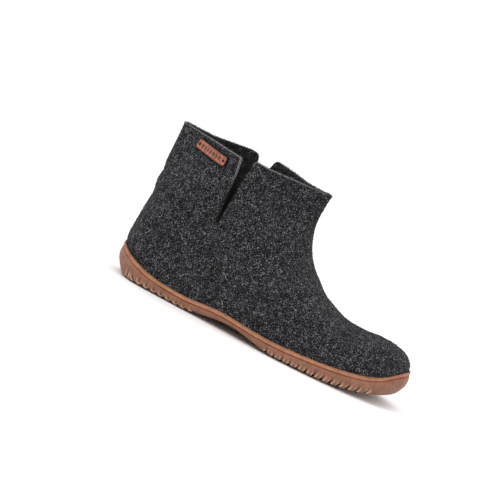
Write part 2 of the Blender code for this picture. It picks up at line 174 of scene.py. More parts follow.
def writePoints(mesh, points):
    mesh.vertices.foreach_set("co", points.ravel())
    mesh.update()


def paint(mesh, name, values):
    # a number for each point, read by the material
    layer = mesh.attributes.new(name, "FLOAT", "POINT")
    layer.data.foreach_set("value", np.asarray(values, dtype=float))


def lumps(points, sizeMm, seed):
    # soft noise of about that wavelength, one value a point
    shift = Vector([seed * step for step in seedSteps])
    scale = 1 / (sizeMm * mm)
    return np.array([noise.noise(Vector(p) * scale + shift) for p in points])


def settle(piece, material, slotName, *nodes):
    # finish, slot and body of a piece
    piece.data.materials.clear()
    piece.data.materials.append(material)
    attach(piece, "root")
    if nodes:
        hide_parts(*nodes)
    return piece


# gum-rubber cup sole, first because the felt is fitted to its rim; sizes in mm

gum = {
    "levels": 2,
    # the rim climbs no faster than this, along the middle and past steepFrom
    "steepFrom": 90.0, "climb": (0.2, 0.75), "rimSlack": 0.3,
    # how sharp edges stay, with angles in radians, below zero in a hollow
    "lineCrease": 0.5, "bandMm": 5.2, "lugCrease": 0.35, "lugAngle": 0.35,
    "fluteCrease": 0.8, "fluteAngle": -0.2,
    # the lowest line is read at these places along the sole
    "stations": (-134.0, 135.0, 3.0), "stationReach": 4.0,
    # fine ribs along the edge of the waist
    "ribs": (-52.0, 18.0), "ribFade": 8.0, "ribBand": (0.2, 3.0), "ribPitch": 4.9, "ribHeight": 0.55,
    # the flutes' valleys as they are found in the solid
    "valleyAngle": -0.15, "valleySlope": 0.5, "valleySteps": 24, "lipSlack": 0.3,
    # a shallow flute further round the heel, found from outside
    "heelFlutes": (5.6,), "heelFluteZ": (1.0, 8.0), "rayFrom": 100.0,
    # each flute gets painted shade along its valley and a painted highlight beside it, and is cut this much
    # deeper than in the solid
    "valleyMm": 0.95, "lugEdge": (2.0, 0.6), "fluteFade": (0.34, 0.78), "fluteCut": 0.4,
    # the heel's swell, and its lip
    "heelFrom": (-122.0, -134.0), "heelFacing": 0.2, "heelBelly": 1.9, "bellyHeights": (4.0, 22.0),
    "heelTuck": 0.8, "tuckBand": (1.0, 7.0),
    # the toe's swell, its lip, and the lip's climb at the very tip
    "toeFrom": (100.0, 128.0), "toeCentre": 90.0, "toeBelly": 1.8, "toeFullness": 0.7,
    "lipMm": 4.3, "lipTuck": 0.9, "lipFade": 2.0,
    "tipFrom": (118.0, 135.0), "tipRise": 2.6, "tipBand": (2.0, 9.0),
    # finish: colours from the rim down, over rampMm, with painted shade in the top band along the felt and
    # a painted highlight on the bead, then mottle, the flutes' painted shade and highlight, and skin
    "rimStops": ((0.0, "#7a4f38"), (0.08, "#94664a"), (0.18, "#a27150"), (0.27, "#ab7a5c"),
                 (0.32, "#a06a4b"), (0.35, "#9a4a2c"), (0.40, "#93482d"), (0.45, "#8d5d46"),
                 (0.52, "#91644d"), (1.0, "#8a5e49")),
    "rampMm": 10.0,
    "mottleMm": 6.0, "mottleStops": ((0.3, "#b8b0a8"), (0.7, "#ffffff")), "mottleShare": 0.8,
    # ridge: painted highlight beside each flute; hollow: painted shade in its valley
    "ridge": "#dcb49b", "ridgeShare": 0.78, "hollow": "#24130c", "hollowShare": 0.92,
    "skinMm": 0.5, "skinDepth": 0.15, "skinBump": 0.25, "roughness": (0.48, 0.68),
}


def rimLine():
    # the top of the sole's rim, as (x, z): points that no other stands over, allowing for the rim's climb
    points = readPoints(cadMesh("sole")) / mm
    x, z = points[:, 0], points[:, 2]
    climb = np.where(np.abs(x) < gum["steepFrom"], *gum["climb"])
    over = z[None, :] - climb[:, None] * np.abs(x[:, None] - x[None, :])
    keep = z > over.max(axis=1) - gum["rimSlack"]
    order = np.argsort(x[keep])
    return x[keep][order], z[keep][order]


rimX, rimZ = rimLine()


def rimHeight(x):
    return np.interp(x, rimX, rimZ)


def tipClimb(x):
    return gum["tipRise"] * smoothStep(*gum["tipFrom"], x)


def soleBottom(points):
    # the lowest line of the sole along its length
    stations = np.arange(*gum["stations"])
    x, z = points[:, 0] / mm, points[:, 2] / mm
    return stations, np.array([z[np.abs(x - s) < gum["stationReach"]].min() for s in stations])


def underRim(edge):
    # how far the edge's ends lie below the rim
    return [rimHeight(v.co.x / mm) - v.co.z / mm for v in edge.verts]


def soleCrease(edge):
    if edge.calc_face_angle_signed(0.0) < gum["fluteAngle"]:
        return gum["fluteCrease"]
    if edge.calc_face_angle(0.0) < gum["lugAngle"]:
        return 0.0
    return gum["lineCrease"] if max(underRim(edge)) < gum["bandMm"] else gum["lugCrease"]


def valleyTree(built):
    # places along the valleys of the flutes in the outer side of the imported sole
    spots = []
    for edge in built.edges:
        a, b = (v.co for v in edge.verts)
        inside = Vector((np.clip(a.x, -footHalf * mm, footHalf * mm), 0, a.z))
        if sum((f.normal for f in edge.link_faces), Vector()).dot(a - inside) < 0:
            continue
        low = min(underRim(edge)) > gum["lipMm"] - gum["lipSlack"]
        steep = abs(a.z - b.z) > gum["valleySlope"] * (a - b).length
        if low and steep and edge.calc_face_angle_signed(0.0) < gum["valleyAngle"]:
            spots += [a.lerp(b, t) for t in np.linspace(0, 1, gum["valleySteps"])]
    first = min(spot.x for spot in spots)
    skin = BVHTree.FromBMesh(built)
    for side in (-1, 1):
        for step in gum["heelFlutes"]:
            for z in np.linspace(*gum["heelFluteZ"], gum["valleySteps"]):
                start = Vector((first - step * mm, side * gum["rayFrom"] * mm, z * mm))
                spot = skin.ray_cast(start, Vector((0, -side, 0)))[0]
                if spot:
                    spots.append(spot)
    print("flutes:", len(spots), "places, the first at", round(first / mm, 1))
    return treeOf(spots)


def gumSole():
    built = cadPiece("sole")
    valley = valleyTree(built)
    piece = subdivided(built, "gum_sole", gum["levels"], soleCrease)
    points = readPoints(piece.data)
    normals = readNormals(piece.data)
    x, y, z = points.T / mm
    # fine ribs along the edge of the waist, where the tread has no bars
    ribFrom, ribTo = gum["ribs"]
    fade = gum["ribFade"]
    waist = smoothStep(ribFrom, ribFrom + fade, x) * (1 - smoothStep(ribTo - fade, ribTo, x))
    low = 1 - smoothStep(*gum["ribBand"], z - np.interp(x, *soleBottom(points)))
    wave = 0.5 - 0.5 * np.cos(2 * math.pi * x / gum["ribPitch"])
    points[:, 2] += waist * low * wave * gum["ribHeight"] * mm
    # the back of the heel swells between the tread and the rim, and its lip tucks in
    rim = rimHeight(x)
    heel = smoothStep(*gum["heelFrom"], x)
    floorZ, topZ = gum["bellyHeights"]
    belly = np.sin(math.pi * np.clip((z - floorZ) / (topZ - floorZ), 0, 1)) * heel
    tuck = gum["heelTuck"] * heel * (1 - smoothStep(*gum["tuckBand"], rim - z))
    outside = normals[:, 0] < gum["heelFacing"]
    points[:, 0] += (tuck - belly * gum["heelBelly"]) * outside * mm
    # the toe's wall is round too, and its lip stays close to the felt
    lip = gum["lipMm"]
    down = np.clip((rim - z - lip) / (rim - np.interp(x, *soleBottom(points)) - lip), 0, 1)
    bulge = gum["toeBelly"] * np.sin(math.pi * down ** gum["toeFullness"])
    bulge -= gum["lipTuck"] * (1 - smoothStep(lip - gum["lipFade"], lip, rim - z))
    outside = normals[:, 0] * (x - gum["toeCentre"]) + normals[:, 1] * y > 0
    toe = smoothStep(*gum["toeFrom"], x) * outside
    points[:, :2] += normals[:, :2] * (toe * bulge * mm)[:, None]
    points[:, 2] += tipClimb(x) * (1 - smoothStep(*gum["tipBand"], rim - z)) * mm
    paint(piece.data, "underRim", rim - z)
    # each flute has painted shade along its valley and a painted highlight beside it, fading out up the
    # wall
    gap = np.array([valley.find(p)[2] / mm for p in points])
    fade = smoothStep(*gum["fluteFade"], down)
    edge, spread = gum["lugEdge"]
    hollow = fade * softBand(gap, gum["valleyMm"])
    paint(piece.data, "hollow", hollow)
    paint(piece.data, "ridge", fade * softBand(gap - edge, spread))
    writePoints(piece.data, points - normals * (hollow * gum["fluteCut"] * mm)[:, None])
    print("gum sole:", len(piece.data.polygons), "faces")
    return piece


def gumRubber():
    # natural gum rubber, moulded: satin, warm, red in the groove, with painted shade at the top of the rim
    # and in the flutes' valleys, and painted highlights on the bead and beside the flutes
    made, tree = newMaterial("natural gum rubber")
    place = addNode(tree, "ShaderNodeTexCoord").outputs["Object"]
    drop = addNode(tree, "ShaderNodeAttribute", attribute_name="underRim").outputs["Fac"]
    share = addNode(tree, "ShaderNodeMath", {1: gum["rampMm"]}, {0: drop}, operation="DIVIDE").outputs[0]
    # the rim's bands: the rubber's own colours, with painted shade in the top band along the felt and a
    # painted highlight on the bead
    bands = addNode(tree, "ShaderNodeValToRGB", links={"Fac": share},
                    stops=gum["rimStops"]).outputs["Color"]
    mottle = addNode(tree, "ShaderNodeTexNoise",
                     {"Scale": 1 / (gum["mottleMm"] * mm), "Detail": 4.0, "Roughness": 0.65},
                     {"Vector": place}).outputs["Fac"]
    shade = addNode(tree, "ShaderNodeValToRGB", links={"Fac": mottle},
                    stops=gum["mottleStops"]).outputs["Color"]
    body = addNode(tree, "ShaderNodeMix", {"Factor": gum["mottleShare"]}, {"A": bands, "B": shade},
                   data_type="RGBA", blend_type="MULTIPLY").outputs["Result"]
    # painted highlight beside the flutes
    ridge = addNode(tree, "ShaderNodeAttribute", attribute_name="ridge").outputs["Fac"]
    highlightShare = addNode(tree, "ShaderNodeMath", {1: gum["ridgeShare"]}, {0: ridge},
                     operation="MULTIPLY").outputs[0]
    wearAndHighlight = addNode(tree, "ShaderNodeMix", {"B": srgb(gum["ridge"])}, {"Factor": highlightShare, "A": body},
                   data_type="RGBA").outputs["Result"]
    # painted shade in the flutes' valleys
    hollow = addNode(tree, "ShaderNodeAttribute", attribute_name="hollow").outputs["Fac"]
    valleyShade = addNode(tree, "ShaderNodeMath", {1: gum["hollowShare"]}, {0: hollow},
                   operation="MULTIPLY").outputs[0]
    colour = addNode(tree, "ShaderNodeMix", {"B": srgb(gum["hollow"])}, {"Factor": valleyShade, "A": wearAndHighlight},
                     data_type="RGBA").outputs["Result"]
    skin = addNode(tree, "ShaderNodeTexNoise", {"Scale": 1 / (gum["skinMm"] * mm), "Detail": 3.0},
                   {"Vector": place}).outputs["Fac"]
    bump = addNode(tree, "ShaderNodeBump", {"Strength": gum["skinBump"], "Distance": gum["skinDepth"] * mm},
                   {"Height": skin}).outputs["Normal"]
    smooth, dull = gum["roughness"]
    rough = addNode(tree, "ShaderNodeMapRange", {"To Min": smooth, "To Max": dull},
                    {"Value": mottle}).outputs["Result"]
    shader = addNode(tree, "ShaderNodeBsdfPrincipled", {"IOR": 1.52, "Specular IOR Level": 0.35},
                     {"Base Color": colour, "Roughness": rough, "Normal": bump})
    addNode(tree, "ShaderNodeOutputMaterial", links={"Surface": shader.outputs["BSDF"]})
    return made


# felted wool, for the shell and the footbed

felt = {
    "fleckMm": 0.86,      # tufts of lighter and darker wool; single fibres are far finer than a pixel
    "cloudMm": 4.5,       # uneven mixing of the two wools
    "cloudShare": 0.2,
    "hairMm": 0.6, "hairShare": 0.5,
    "stops": ((0.335, "#020203"), (0.46, "#0f0f11"), (0.565, "#2c2c2e"), (0.69, "#8b8b8e")),
    # cut edge: the cut felt's own pale colour, partly painted highlight
    "cutEdge": "#96969a", "cutBand": (0.0, 0.5), "cutFlecks": (0.3, 0.6),
    "inner": "#161617",   # painted shade: the inside darker than the outside
    "tagAndSlitShade": "#0b0b0c",    # painted shade beside the tag and on the slits' faces
    "bumpMm": 0.5, "bump": 0.7, "sheen": "#b8b8bc",
}


def feltedWool(name, lift=0.0):
    # wet-felted melange wool: matt, no gloss, light fibres lying over dark ones, pale where it is cut, that
    # pale partly painted highlight; painted shade inside, beside the tag and on the slits' faces
    made, tree = newMaterial(name)
    place = addNode(tree, "ShaderNodeTexCoord").outputs["Object"]
    fleck = addNode(tree, "ShaderNodeTexNoise",
                    {"Scale": 1 / (felt["fleckMm"] * mm), "Detail": 2.0, "Roughness": 0.65,
                     "Distortion": 0.5},
                    {"Vector": place}).outputs["Fac"]
    cloud = addNode(tree, "ShaderNodeTexNoise",
                    {"Scale": 1 / (felt["cloudMm"] * mm), "Detail": 2.0, "Roughness": 0.6},
                    {"Vector": place}).outputs["Fac"]
    hair = addNode(tree, "ShaderNodeTexNoise",
                   {"Scale": 1 / (felt["hairMm"] * mm), "Detail": 2.0, "Distortion": 1.5},
                   {"Vector": place}).outputs["Fac"]
    mixed = addNode(tree, "ShaderNodeMath", {1: felt["cloudShare"]}, {0: cloud, 2: fleck},
                    operation="MULTIPLY_ADD").outputs[0]
    tone = addNode(tree, "ShaderNodeMath", {1: lift - felt["cloudShare"] / 2}, {0: mixed},
                   operation="ADD").outputs[0]
    wool = addNode(tree, "ShaderNodeValToRGB", links={"Fac": tone}, stops=felt["stops"]).outputs["Color"]
    # painted shade on the inside
    inner = addNode(tree, "ShaderNodeAttribute", attribute_name="inner").outputs["Fac"]
    body = addNode(tree, "ShaderNodeMix", {"B": srgb(felt["inner"])}, {"Factor": inner, "A": wool},
                   data_type="RGBA").outputs["Result"]
    gap = addNode(tree, "ShaderNodeAttribute", attribute_name="edgeGap").outputs["Fac"]
    near, far = felt["cutBand"]
    edge = addNode(tree, "ShaderNodeMapRange",
                   {"From Min": near, "From Max": far, "To Min": 1.0, "To Max": 0.0},
                   {"Value": gap}, interpolation_type="SMOOTHSTEP").outputs["Result"]
    dark, light = felt["cutFlecks"]
    edgeTone = addNode(tree, "ShaderNodeMapRange", {"From Min": dark, "From Max": light},
                       {"Value": fleck}).outputs["Result"]
    # how pale the cut edge is here, partly painted highlight
    cutPaleAndHighlight = addNode(tree, "ShaderNodeAttribute", attribute_name="cutPaleAndHighlight").outputs["Fac"]
    patchy = addNode(tree, "ShaderNodeMath", links={0: edge, 1: edgeTone}, operation="MULTIPLY").outputs[0]
    pale = addNode(tree, "ShaderNodeMath", links={0: patchy, 1: cutPaleAndHighlight}, operation="MULTIPLY").outputs[0]
    trimmed = addNode(tree, "ShaderNodeMix", {"B": srgb(felt["cutEdge"])}, {"Factor": pale, "A": body},
                      data_type="RGBA").outputs["Result"]
    # painted shade beside the tag and on the slits' faces
    tagAndSlitShade = addNode(tree, "ShaderNodeAttribute", attribute_name="tagAndSlitShade").outputs["Fac"]
    colour = addNode(tree, "ShaderNodeMix", {"B": srgb(felt["tagAndSlitShade"])}, {"Factor": tagAndSlitShade, "A": trimmed},
                     data_type="RGBA").outputs["Result"]
    height = addNode(tree, "ShaderNodeMath", {1: felt["hairShare"]}, {0: hair, 2: fleck},
                     operation="MULTIPLY_ADD").outputs[0]
    bump = addNode(tree, "ShaderNodeBump", {"Strength": felt["bump"], "Distance": felt["bumpMm"] * mm},
                   {"Height": height}).outputs["Normal"]
    shader = addNode(tree, "ShaderNodeBsdfPrincipled",
                     {"Roughness": 0.95, "IOR": 1.5, "Specular IOR Level": 0.1, "Sheen Weight": 0.05,
                      "Sheen Roughness": 0.5, "Sheen Tint": srgb(felt["sheen"])},
                     {"Base Color": colour, "Normal": bump})
    addNode(tree, "ShaderNodeOutputMaterial", links={"Surface": shader.outputs["BSDF"]})
    return made


# felt shell: creases are soft troughs and ridges at listed lines on the boot's side, in mm

creases = (
    # name, side (-1 outer, 1 inner, 0 right round), depth outwards, width, line of (x, z)
    ("instep flex", -1, -1.8, 8.0, ((-6, 36), (18, 47), (40, 58), (48, 66))),
    ("instep flex, inner", 1, -1.6, 8.0, ((0, 38), (22, 48), (48, 66))),
    ("instep ridge", -1, 1.0, 8.0, ((-24, 36), (-6, 52), (20, 64))),
    ("toe break", -1, -1.9, 7.0, ((46, 30), (64, 39), (80, 46), (88, 49))),
    ("toe break, inner", 1, -1.5, 7.0, ((50, 32), (68, 42), (88, 49))),
    ("toe break ridge", -1, 0.9, 9.0, ((70, 26), (92, 34), (104, 40))),
    ("ankle hollow", -1, -2.2, 13.0, ((-28, 78), (-20, 68))),
    ("ankle hollow, inner", 1, -2.0, 13.0, ((-30, 80), (-18, 66))),
    ("slit ridge", -1, 1.0, 9.0, ((-48, 98), (-44, 84), (-38, 58))),
    ("slit foot fold", -1, -1.0, 7.0, ((-66, 76), (-66, 54), (-62, 34))),
    ("heel hollow", -1, -1.4, 12.0, ((-108, 46), (-96, 36))),
    ("heel hollow, inner", 1, -1.2, 12.0, ((-106, 46), (-92, 36))),
    ("heel ridge", -1, 0.9, 11.0, ((-114, 92), (-108, 72))),
    ("back crease", 0, -0.9, 4.5, ((-140, 97), (-114, 95))),
    ("back ridge", 0, 0.7, 5.0, ((-140, 87), (-112, 86))),
    ("back crease, low", 0, -0.6, 4.5, ((-140, 75), (-116, 73))),
)
shell = {
    "levels": 2,
    "sharpAngle": 48.0, "edgeCrease": 0.55,         # cut edges, found by their angle in degrees
    "cornerCrease": (0.6, 0.3), "throughWall": 0.8,   # outer and inner flaps' corners, through the wall
    "shaftAxisX": -62.0, "footAxisZ": 26.0, "shaftFrom": (45.0, 78.0),
    "halfWall": 2.0,
    "creaseSide": (-2.0, 10.0),                     # a crease fades out over the boot's middle
    "loft": 0.6,                                    # the felt stands off its true form by this much
    "waveMm": 34.0, "waveHeight": 0.55, "waveSeed": 1,     # and wanders by this much
    "lumpMm": 5.0, "lumpHeight": 0.16, "lumpSeed": 2,
    "rimClear": 4.0, "tagClear": (14.0, 34.0),      # it stays true just above the rubber and round the tag
    "collarBand": (100.0, 140.0), "collarInner": (-10.0, 14.0),
    "collarSet": (
        # place along the boot, how far the collar's inner side stands up
        (-135, 0.8), (-122, 0.0), (-108, -1.0), (-92, 0.0), (-77, 1.1), (-71, 0.5),
        (-66, -0.9), (-61, 0.9), (-50, 0.9), (-36, 0.3), (-20, -1.1), (9, -1.2),
    ),
    "slitX": -64.2, "slitReach": 14.0, "flapSide": (8.0, 20.0),
    "slitSet": (
        # side, behind the slit, how far its edge stands forwards at each height
        (-1, True, ((52, 0.0), (76, 1.4), (140, 1.4))),
        (-1, False, ((52, 0.0), (76, 1.4), (90, 1.8), (140, 2.0))),
        (1, True, ((100, 0.0), (125, -1.0), (140, -1.4))),
        (1, False, ((100, 0.0), (125, 2.0), (132, 2.0), (140, 0.0))),
    ),
    # shades: pale cut edges from these heights up, mostly on the outer side, partly the cut felt's own
    # colour and partly painted highlight
    "cutFrom": 45.0, "cutShare": 0.98, "edgeFar": 6.0,
    "trimBack": (104.0, 132.0), "trimFront": (133.0, 138.5), "trimInner": 0.2, "trimOuter": (-4.0, 6.0),
    # painted shade on the inside, darker further down
    "innerShade": (0.5, 0.95), "innerDeep": (125.0, 95.0), "innerFacing": (-0.35, 0.1),
    # painted shade beside the tag and on the slits' faces
    "tagShadeBand": 2.0, "tagShadeShare": 0.9,
    "slitShade": 0.9, "slitFacing": (0.4, 0.7), "slitNear": 16.0,
}


def lineDistance(x, z, line):
    best = np.full(len(x), np.inf)
    for (x0, z0), (x1, z1) in zip(line, line[1:]):
        run = np.array([x1 - x0, z1 - z0], float)
        t = np.clip(((x - x0) * run[0] + (z - z0) * run[1]) / (run @ run), 0, 1)
        best = np.minimum(best, np.hypot(x - x0 - t * run[0], z - z0 - t * run[1]))
    return best


def outwards(points):
    # away from the foot's axis below and the shaft's above, so that both skins of the wall move together
    x, _, z = points.T / mm
    up = smoothStep(*shell["shaftFrom"], z)[:, None]
    foot = np.stack([np.clip(x, -footHalf, footHalf), 0 * x, np.minimum(z, shell["footAxisZ"])], axis=1)
    shaft = np.stack([0 * x + shell["shaftAxisX"], 0 * x, z], axis=1)
    away = points / mm - (foot + (shaft - foot) * up)
    return away / np.linalg.norm(away, axis=1)[:, None]


def markCuts(built):
    # the points on the felt's cut edges, at the collar and the slits
    cut = built.verts.layers.float.new("cut")
    for edge in built.edges:
        isSharp = edge.calc_face_angle(0.0) > math.radians(shell["sharpAngle"])
        if isSharp and min(v.co.z for v in edge.verts) > shell["cutFrom"] * mm:
            for vert in edge.verts:
                vert[cut] = 1.0


def shellCrease(edge):
    if edge.calc_face_angle(0.0) < math.radians(shell["sharpAngle"]):
        return 0.0
    a, b = (np.array(v.co) for v in edge.verts)
    through = (b - a) / np.linalg.norm(b - a) @ outwards(np.array([(a + b) / 2]))[0]
    if abs(through) > shell["throughWall"]:
        return shell["cornerCrease"][int(a[1] > 0)]
    return shell["edgeCrease"]


def shapedFelt(start, normals, away):
    # the shell's points after creases, loft, waves, collar and slits
    x, y, z = start.T / mm
    move = np.zeros(len(start))
    for _, side, depth, width, line in creases:
        reach = softBand(lineDistance(x, z, line), width)
        move += depth * reach * (smoothStep(*shell["creaseSide"], side * y) if side else 1.0)
    calm = smoothStep(0, shell["rimClear"], z - rimHeight(x) - tipClimb(x))
    tagGap = np.linalg.norm(start / mm - np.array(middleOf("leather_tag") / mm), axis=1)
    calm *= smoothStep(*shell["tagClear"], tagGap)
    # both skins read the noise at the middle of the wall
    skin = np.where((normals * away).sum(1) > 0, 1, -1)[:, None]
    middle = start - away * skin * shell["halfWall"] * mm
    move += shell["loft"] + shell["waveHeight"] * lumps(middle, shell["waveMm"], shell["waveSeed"])
    points = start + away * (move * calm * mm)[:, None]
    # the inner side of the collar dips and lifts along its length
    dip = np.interp(x, *zip(*shell["collarSet"])) * smoothStep(*shell["collarBand"], z)
    points[:, 2] += dip * smoothStep(*shell["collarInner"], y) * mm
    for side, behind, places in shell["slitSet"]:
        flap = smoothStep(*shell["flapSide"], side * y) * ((x < shell["slitX"]) == behind)
        near = softBand(x - shell["slitX"], shell["slitReach"])
        points[:, 0] += flap * near * np.interp(z, *zip(*places)) * mm
    fine = shell["lumpHeight"] * lumps(points, shell["lumpMm"], shell["lumpSeed"]) * calm
    return points + normals * (fine * mm)[:, None]


def paintFelt(mesh, start, points, away):
    # what the felt's finish reads at each point; gives back the cut edges, with how pale each place is
    x, y, z = start.T / mm
    cutShare = np.empty(len(points), dtype=np.float32)
    mesh.attributes["cut"].data.foreach_get("value", cutShare)
    isCut = cutShare > shell["cutShare"]
    # pale where it was trimmed: the collar and the top of the back flap's slit, mostly on the outer side;
    # partly painted highlight
    front, back = smoothStep(*shell["trimFront"], z), smoothStep(*shell["trimBack"], z)
    cutPaleAndHighlight = np.where(x > shell["slitX"], front, back)
    cutPaleAndHighlight *= shell["trimInner"] + (1 - shell["trimInner"]) * smoothStep(*shell["trimOuter"], -y)
    paint(mesh, "cutPaleAndHighlight", cutPaleAndHighlight)
    edgeSpots = [(Vector(p), t) for p, t in zip(points[isCut], cutPaleAndHighlight[isCut])]
    edges = treeOf([spot for spot, _ in edgeSpots])
    paint(mesh, "edgeGap", [min(edges.find(p)[2] / mm, shell["edgeFar"]) for p in points])
    normals = readNormals(mesh)
    # painted shade on the inside, more so further down
    top, deep = shell["innerShade"]
    shade = top + (deep - top) * smoothStep(*shell["innerDeep"], z)
    paint(mesh, "inner", (1 - smoothStep(*shell["innerFacing"], (normals * away).sum(1))) * shade)
    slitFace = isCut * smoothStep(*shell["slitFacing"], np.abs(normals[:, 0]))
    slitFace *= np.abs(x - shell["slitX"]) < shell["slitNear"]
    # painted shade beside the tag, and on the slits' faces below their pale top
    tagTree = bvhOf(cadMesh("leather_tag"))
    beside = np.array([tagTree.find_nearest(Vector(p))[3] / mm for p in points])
    stampsAndTagShade = shell["tagShadeShare"] * softBand(beside, shell["tagShadeBand"])
    paint(mesh, "tagAndSlitShade", np.maximum(stampsAndTagShade, shell["slitShade"] * slitFace * (1 - cutPaleAndHighlight)))
    return edgeSpots


def feltShell():
    built = cadPiece("upper")
    markCuts(built)
    piece = subdivided(built, "felt_shell", shell["levels"], shellCrease)
    start = readPoints(piece.data)
    away = outwards(start)
    points = shapedFelt(start, readNormals(piece.data), away)
    writePoints(piece.data, points)
    edgeSpots = paintFelt(piece.data, start, points, away)
    print("felt shell:", len(piece.data.polygons), "faces")
    return piece, edgeSpots


# loose wool on the felt and along its cut edges; sizes in mm, lie in degrees off the felt

nap = {
    "count": 47000, "length": (1.0, 3.0), "width": (0.07, 0.17), "lie": (5, 22), "seed": 11,
    "rimClear": 0.6, "tagClear": 2.6,     # none starts nearer to the rubber or the tag
    "cutClear": 1.8, "cutPale": 0.5,      # nor to a cut edge that isn't pale
    "toneShape": (1.2, 2.4),              # most fibres are dark
    "stops": ((0.0, "#050506"), (0.35, "#161618"), (0.7, "#47474a"), (1.0, "#8f8f93")),
}
fringe = {
    "count": 5200, "length": (0.8, 2.2), "width": (0.06, 0.12), "lie": (25, 80), "seed": 12,
    "scatter": 1.0, "tone": (0.3, 0.7),   # lightest tone on a dark edge, and what a pale one adds
}
sunkShare = 0.15     # of a fibre's length, below its root


def needles(roots, normals, settings, tones):
    # closed and three-sided, each far thicker than a real fibre so that it shows
    chance = random.Random(settings["seed"])
    points, faces, tone = [], [], []
    for root, normal, value in zip(roots, normals, tones):
        side = normal.orthogonal().normalized()
        side.rotate(Matrix.Rotation(chance.uniform(0, 2 * math.pi), 3, normal))
        lie = math.radians(chance.uniform(*settings["lie"]))
        length = chance.uniform(*settings["length"]) * mm
        thick = chance.uniform(*settings["width"]) * mm
        along = side * math.cos(lie) + normal * math.sin(lie)
        across = along.cross(normal).normalized()
        over = across.cross(along)
        k = len(points)
        base = root - along * sunkShare * length
        for turn in range(3):
            angle = 2 * math.pi * turn / 3
            points.append(base + (across * math.cos(angle) + over * math.sin(angle)) * thick)
        points.append(root + along * length)
        faces += [(k, k + 2, k + 1), (k, k + 1, k + 3), (k + 1, k + 2, k + 3), (k + 2, k, k + 3)]
        tone += [value] * 4
    return points, faces, tone


def napRoots(mesh, tagTree, cutTree):
    # evenly spread over the felt, by area, but not under the rubber rim or the tag
    mesh.calc_loop_triangles()
    areas = np.array([t.area for t in mesh.loop_triangles])
    chance = np.random.default_rng(nap["seed"])
    picks = chance.choice(len(areas), size=nap["count"], p=areas / areas.sum())
    roots, normals = [], []
    for pick in picks:
        triangle = mesh.loop_triangles[pick]
        a, b, c = (mesh.vertices[v].co for v in triangle.vertices)
        s, t = chance.random(2)
        if s + t > 1:
            s, t = 1 - s, 1 - t
        spot = a + (b - a) * s + (c - a) * t
        rim = rimHeight(spot.x / mm) + tipClimb(spot.x / mm)
        if spot.z / mm < rim + nap["rimClear"]:
            continue
        if tagTree.find_nearest(spot, nap["tagClear"] * mm)[0] is not None:
            continue
        if cutTree.find(spot)[2] < nap["cutClear"] * mm:
            continue
        roots.append(spot)
        normals.append(triangle.normal.copy())
    tones = chance.beta(*nap["toneShape"], size=len(roots))
    return roots, normals, tones


def fringeRoots(mesh, edgeSpots):
    # along the cut edges, paler where these are pale, painted highlight included
    surface = bvhOf(mesh)
    chance = random.Random(fringe["seed"])
    wide = fringe["scatter"]
    least, more = fringe["tone"]
    roots, normals, tones = [], [], []
    for _ in range(fringe["count"]):
        spot, cutPaleAndHighlight = chance.choice(edgeSpots)
        stray = Vector(chance.uniform(-wide, wide) * mm for _ in range(3))
        nearest, normal = surface.find_nearest(spot + stray)[:2]
        roots.append(nearest)
        normals.append(normal)
        tones.append(chance.uniform(0.0, least + more * cutPaleAndHighlight))
    return roots, normals, tones


def woolPiece(name, roots, normals, tones, settings):
    points, faces, tone = needles(roots, normals, settings, tones)
    piece = meshPiece(name, points, faces)
    paint(piece.data, "tone", tone)
    print(name, "has", len(faces), "faces")
    return piece


def napPieces(mesh, edgeSpots):
    cutTree = treeOf([spot for spot, cutPaleAndHighlight in edgeSpots if cutPaleAndHighlight < nap["cutPale"]])
    hairs = woolPiece("felt_nap", *napRoots(mesh, bvhOf(cadMesh("leather_tag")), cutTree), nap)
    edges = woolPiece("edge_fringe", *fringeRoots(mesh, edgeSpots), fringe)
    return hairs, edges


def looseWool():
    # single wool fibres: pale grey to black, slightly shiny along their length
    made, tree = newMaterial("loose wool fibre")
    tone = addNode(tree, "ShaderNodeAttribute", attribute_name="tone").outputs["Fac"]
    colour = addNode(tree, "ShaderNodeValToRGB", links={"Fac": tone}, stops=nap["stops"]).outputs["Color"]
    shader = addNode(tree, "ShaderNodeBsdfPrincipled",
                     {"Roughness": 0.8, "IOR": 1.54, "Specular IOR Level": 0.2}, {"Base Color": colour})
    addNode(tree, "ShaderNodeOutputMaterial", links={"Surface": shader.outputs["BSDF"]})
    return made


# insole: a loose footbed cut from the same felt

footbed = {
    "levels": 3, "edgeCrease": 0.35, "edgeAngle": 0.8,     # angle in radians
    "lumpMm": 7.0, "lumpHeight": 0.12, "lumpSeed": 5, "topFacing": (0.3, 0.9),
    "lift": 0.03,      # a little lighter than the shell
}


def footbedCrease(edge):
    return footbed["edgeCrease"] if edge.calc_face_angle(0.0) > footbed["edgeAngle"] else 0.0


def feltInsole():
    piece = subdivided(cadPiece("insole"), "felt_insole", footbed["levels"], footbedCrease)
    points = readPoints(piece.data)
    normals = readNormals(piece.data)
    top = smoothStep(*footbed["topFacing"], normals[:, 2])
    lump = footbed["lumpHeight"] * lumps(points, footbed["lumpMm"], footbed["lumpSeed"])
    points += normals * (lump * top * mm)[:, None]
    writePoints(piece.data, points)
    print("felt insole:", len(piece.data.polygons), "faces")
    return piece


# leather tag, in its own axes: a along the strip, u up it, height off its plane, in mm

